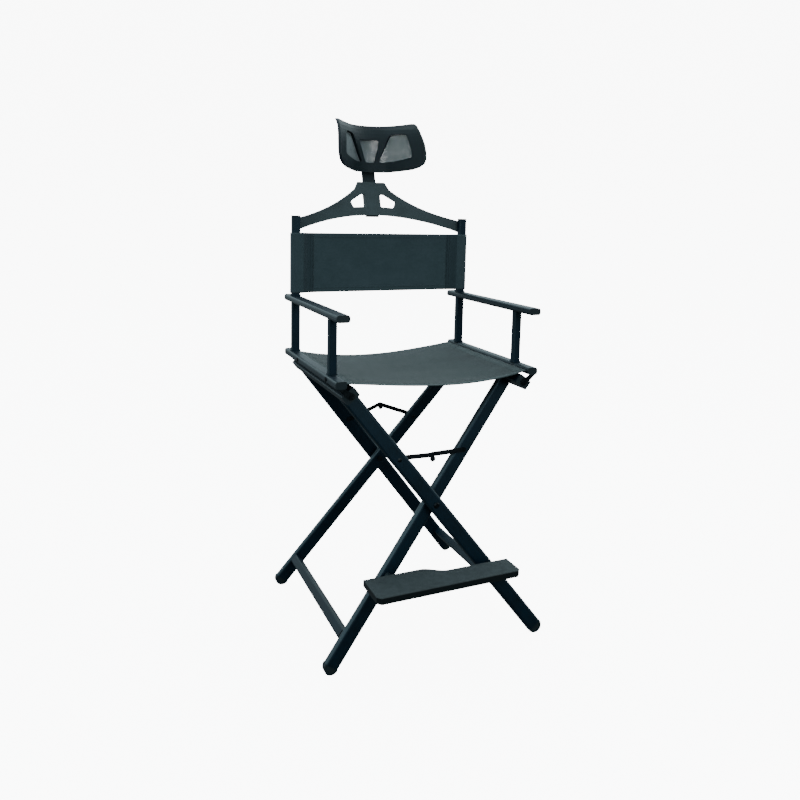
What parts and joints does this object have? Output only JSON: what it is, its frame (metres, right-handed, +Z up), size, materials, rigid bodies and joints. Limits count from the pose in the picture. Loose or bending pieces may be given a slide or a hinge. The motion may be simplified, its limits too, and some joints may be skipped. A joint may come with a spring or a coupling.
{
  "type": "folding director chair",
  "caption": "Tall folding director chair with crossed splayed tube legs, sling seat and back, slim armrests, a swing-up footrest and a tilting mesh headrest on an arched bar.",
  "frame": {"origin": "middle of the chair's footprint box on the floor, under the seat", "axes": "+Z up; the sitter faces -Y; +X is the sitter's left, so frame a's upper end is at -X; X = 0 is the chair's centre plane"},
  "size_m": [0.6458, 0.7032, 1.4738],
  "materials": {
    "scissor_bolt_front": "black-plated steel",
    "scissor_bolt_rear": "black-plated steel",
    "leg_a_front": "dark blue-black coated extrusion",
    "foot_a_front": "matte black moulded plastic",
    "leg_rail_plug_a_front": "matte black moulded plastic",
    "leg_a_rear": "dark blue-black coated extrusion",
    "foot_a_rear": "matte black moulded plastic",
    "leg_rail_plug_a_rear": "matte black moulded plastic",
    "leg_rail_a": "dark blue-black coated extrusion",
    "bottom_rail_a": "dark blue-black coated extrusion",
    "footrest_peg": "matte black moulded plastic",
    "leg_b_front": "dark blue-black coated extrusion",
    "foot_b_front": "matte black moulded plastic",
    "leg_rail_plug_b_front": "matte black moulded plastic",
    "leg_b_rear": "dark blue-black coated extrusion",
    "foot_b_rear": "matte black moulded plastic",
    "leg_rail_plug_b_rear": "matte black moulded plastic",
    "leg_rail_b": "dark blue-black coated extrusion",
    "bottom_rail_b": "dark blue-black coated extrusion",
    "footrest_hinge": "matte black moulded plastic",
    "seat_rail_left": "dark blue-black coated extrusion",
    "armrest_left": "dark blue-black coated extrusion",
    "front_post_left": "dark blue-black coated extrusion",
    "rear_post_left": "dark blue-black coated extrusion",
    "back_post_left": "dark blue-black coated extrusion",
    "back_post_cap_left": "matte black moulded plastic",
    "seat_rail_plug_left_front": "matte black moulded plastic",
    "armrest_plug_left_front": "matte black moulded plastic",
    "arm_hinge_left_front": "black-plated steel",
    "seat_rail_plug_left_rear": "matte black moulded plastic",
    "armrest_plug_left_rear": "matte black moulded plastic",
    "arm_hinge_left_rear": "black-plated steel",
    "seat_canvas": "woven dark grey-green canvas",
    "back_canvas": "woven dark grey canvas",
    "seat_rail_right": "dark blue-black coated extrusion",
    "armrest_right": "dark blue-black coated extrusion",
    "front_post_right": "dark blue-black coated extrusion",
    "rear_post_right": "dark blue-black coated extrusion",
    "back_post_right": "dark blue-black coated extrusion",
    "back_post_cap_right": "matte black moulded plastic",
    "seat_rail_plug_right_front": "matte black moulded plastic",
    "armrest_plug_right_front": "matte black moulded plastic",
    "arm_hinge_right_front": "black-plated steel",
    "seat_rail_plug_right_rear": "matte black moulded plastic",
    "armrest_plug_right_rear": "matte black moulded plastic",
    "arm_hinge_right_rear": "black-plated steel",
    "front_stay_a": "black-plated steel",
    "front_stay_b": "black-plated steel",
    "rear_stay_a": "black-plated steel",
    "rear_stay_b": "black-plated steel",
    "headrest_bar": "matte black moulded plastic",
    "headrest_bar_knob_left": "matte black moulded plastic",
    "headrest_bar_knob_right": "matte black moulded plastic",
    "headrest_stem": "matte black moulded plastic",
    "headrest_tilt_pin": "black-plated steel",
    "headrest_frame": "matte black moulded plastic",
    "headrest_net": "open grey mesh",
    "footrest_board": "dark grey, rough top"
  },
  "bodies": {
    "scissor": {"scissor_bolt_front": "scissor_bolt_front", "scissor_bolt_rear": "scissor_bolt_rear"},
    "leg_frame_a": {"leg_a_front": "leg_a_front", "foot_a_front": "foot_a_front", "leg_rail_plug_a_front": "leg_rail_plug_a_front", "leg_a_rear": "leg_a_rear", "foot_a_rear": "foot_a_rear", "leg_rail_plug_a_rear": "leg_rail_plug_a_rear", "leg_rail_a": "leg_rail_a", "bottom_rail_a": "bottom_rail_a", "footrest_peg": "footrest_peg"},
    "leg_frame_b": {"leg_b_front": "leg_b_front", "foot_b_front": "foot_b_front", "leg_rail_plug_b_front": "leg_rail_plug_b_front", "leg_b_rear": "leg_b_rear", "foot_b_rear": "foot_b_rear", "leg_rail_plug_b_rear": "leg_rail_plug_b_rear", "leg_rail_b": "leg_rail_b", "bottom_rail_b": "bottom_rail_b", "footrest_hinge": "footrest_hinge"},
    "arm_frame_left": {"seat_rail_left": "seat_rail_left", "armrest_left": "armrest_left", "front_post_left": "front_post_left", "rear_post_left": "rear_post_left", "back_post_left": "back_post_left", "back_post_cap_left": "back_post_cap_left", "seat_rail_plug_left_front": "seat_rail_plug_left_front", "armrest_plug_left_front": "armrest_plug_left_front", "arm_hinge_left_front": "arm_hinge_left_front", "seat_rail_plug_left_rear": "seat_rail_plug_left_rear", "armrest_plug_left_rear": "armrest_plug_left_rear", "arm_hinge_left_rear": "arm_hinge_left_rear", "seat_canvas": "seat_canvas", "back_canvas": "back_canvas"},
    "arm_frame_right": {"seat_rail_right": "seat_rail_right", "armrest_right": "armrest_right", "front_post_right": "front_post_right", "rear_post_right": "rear_post_right", "back_post_right": "back_post_right", "back_post_cap_right": "back_post_cap_right", "seat_rail_plug_right_front": "seat_rail_plug_right_front", "armrest_plug_right_front": "armrest_plug_right_front", "arm_hinge_right_front": "arm_hinge_right_front", "seat_rail_plug_right_rear": "seat_rail_plug_right_rear", "armrest_plug_right_rear": "armrest_plug_right_rear", "arm_hinge_right_rear": "arm_hinge_right_rear"},
    "front_stay_link_a": {"front_stay_a": "front_stay_a"},
    "front_stay_link_b": {"front_stay_b": "front_stay_b"},
    "rear_stay_link_a": {"rear_stay_a": "rear_stay_a"},
    "rear_stay_link_b": {"rear_stay_b": "rear_stay_b"},
    "bar": {"headrest_bar": "headrest_bar", "headrest_bar_knob_left": "headrest_bar_knob_left", "headrest_bar_knob_right": "headrest_bar_knob_right"},
    "stem": {"headrest_stem": "headrest_stem", "headrest_tilt_pin": "headrest_tilt_pin"},
    "headrest": {"headrest_frame": "headrest_frame", "headrest_net": "headrest_net"},
    "footrest": {"footrest_board": "footrest_board"}
  },
  "joints": [
    {"name": "fold", "type": "hinge", "parent": "scissor", "child": "leg_frame_a", "pos_m": [0, -0.00752, 0.4074], "axis": [0, 1, 0], "range_deg": [0, 33], "deforming": ["seat_canvas", "back_canvas"]},
    {"name": "fold_b", "type": "hinge", "parent": "scissor", "child": "leg_frame_b", "pos_m": [0, -0.00752, 0.4074], "axis": [0, 1, 0], "range_deg": [-33, 0]},
    {"name": "arm_left_hinge", "type": "hinge", "parent": "leg_frame_a", "child": "arm_frame_left", "pos_m": [-0.25384, -0.24602, 0.7323], "axis": [0, 1, 0], "range_deg": [-33, 0]},
    {"name": "arm_right_hinge", "type": "hinge", "parent": "leg_frame_b", "child": "arm_frame_right", "pos_m": [0.25384, -0.24602, 0.7323], "axis": [0, 1, 0], "range_deg": [0, 33]},
    {"name": "front_stay_a_hinge", "type": "hinge", "parent": "leg_frame_a", "child": "front_stay_link_a", "pos_m": [-0.10263, -0.19819, 0.53876], "axis": [0.0655, 0.9943, -0.0838], "range_deg": [-114.91, 0]},
    {"name": "front_stay_b_hinge", "type": "hinge", "parent": "leg_frame_b", "child": "front_stay_link_b", "pos_m": [0.10263, -0.19339, 0.53876], "axis": [-0.0655, 0.9943, -0.0838], "range_deg": [0, 114.91]},
    {"name": "rear_stay_a_hinge", "type": "hinge", "parent": "leg_frame_a", "child": "rear_stay_link_a", "pos_m": [-0.10651, 0.17866, 0.54373], "axis": [-0.0788, 0.9918, 0.1008], "range_deg": [-94.93, 0]},
    {"name": "rear_stay_b_hinge", "type": "hinge", "parent": "leg_frame_b", "child": "rear_stay_link_b", "pos_m": [0.10651, 0.17386, 0.54373], "axis": [0.0788, 0.9918, 0.1008], "range_deg": [0, 94.93]},
    {"name": "bar_lift", "type": "slide", "parent": "scissor", "child": "bar", "axis": [0, 0, 1], "range_m": [0, 0.18]},
    {"name": "headrest_height", "type": "slide", "parent": "bar", "child": "stem", "axis": [0, 0.3048, 0.9524], "range_m": [-0.015, 0.05]},
    {"name": "headrest_tilt", "type": "hinge", "parent": "stem", "child": "headrest", "pos_m": [0, 0.32679, 1.3313], "axis": [1, 0, 0], "range_deg": [-25, 12]},
    {"name": "footrest_swing", "type": "hinge", "parent": "leg_frame_b", "child": "footrest", "pos_m": [-0.13977, -0.24602, 0.2285], "axis": [0, 1, 0], "range_deg": [-60, 0]}
  ],
  "couplings": [
    {"joint": "fold_b", "follows": "fold", "ratio": -1},
    {"joint": "arm_left_hinge", "follows": "fold", "ratio": -1},
    {"joint": "arm_right_hinge", "follows": "fold", "ratio": 1},
    {"joint": "front_stay_a_hinge", "follows": "fold", "ratio": -3.4807},
    {"joint": "front_stay_b_hinge", "follows": "fold", "ratio": 3.4807},
    {"joint": "rear_stay_a_hinge", "follows": "fold", "ratio": -2.8752},
    {"joint": "rear_stay_b_hinge", "follows": "fold", "ratio": 2.8752},
    {"joint": "bar_lift", "follows": "fold", "m_per_rad": 0.3123},
    {"joint": "footrest_swing", "follows": "fold", "ratio": -1.8181}
  ]
}
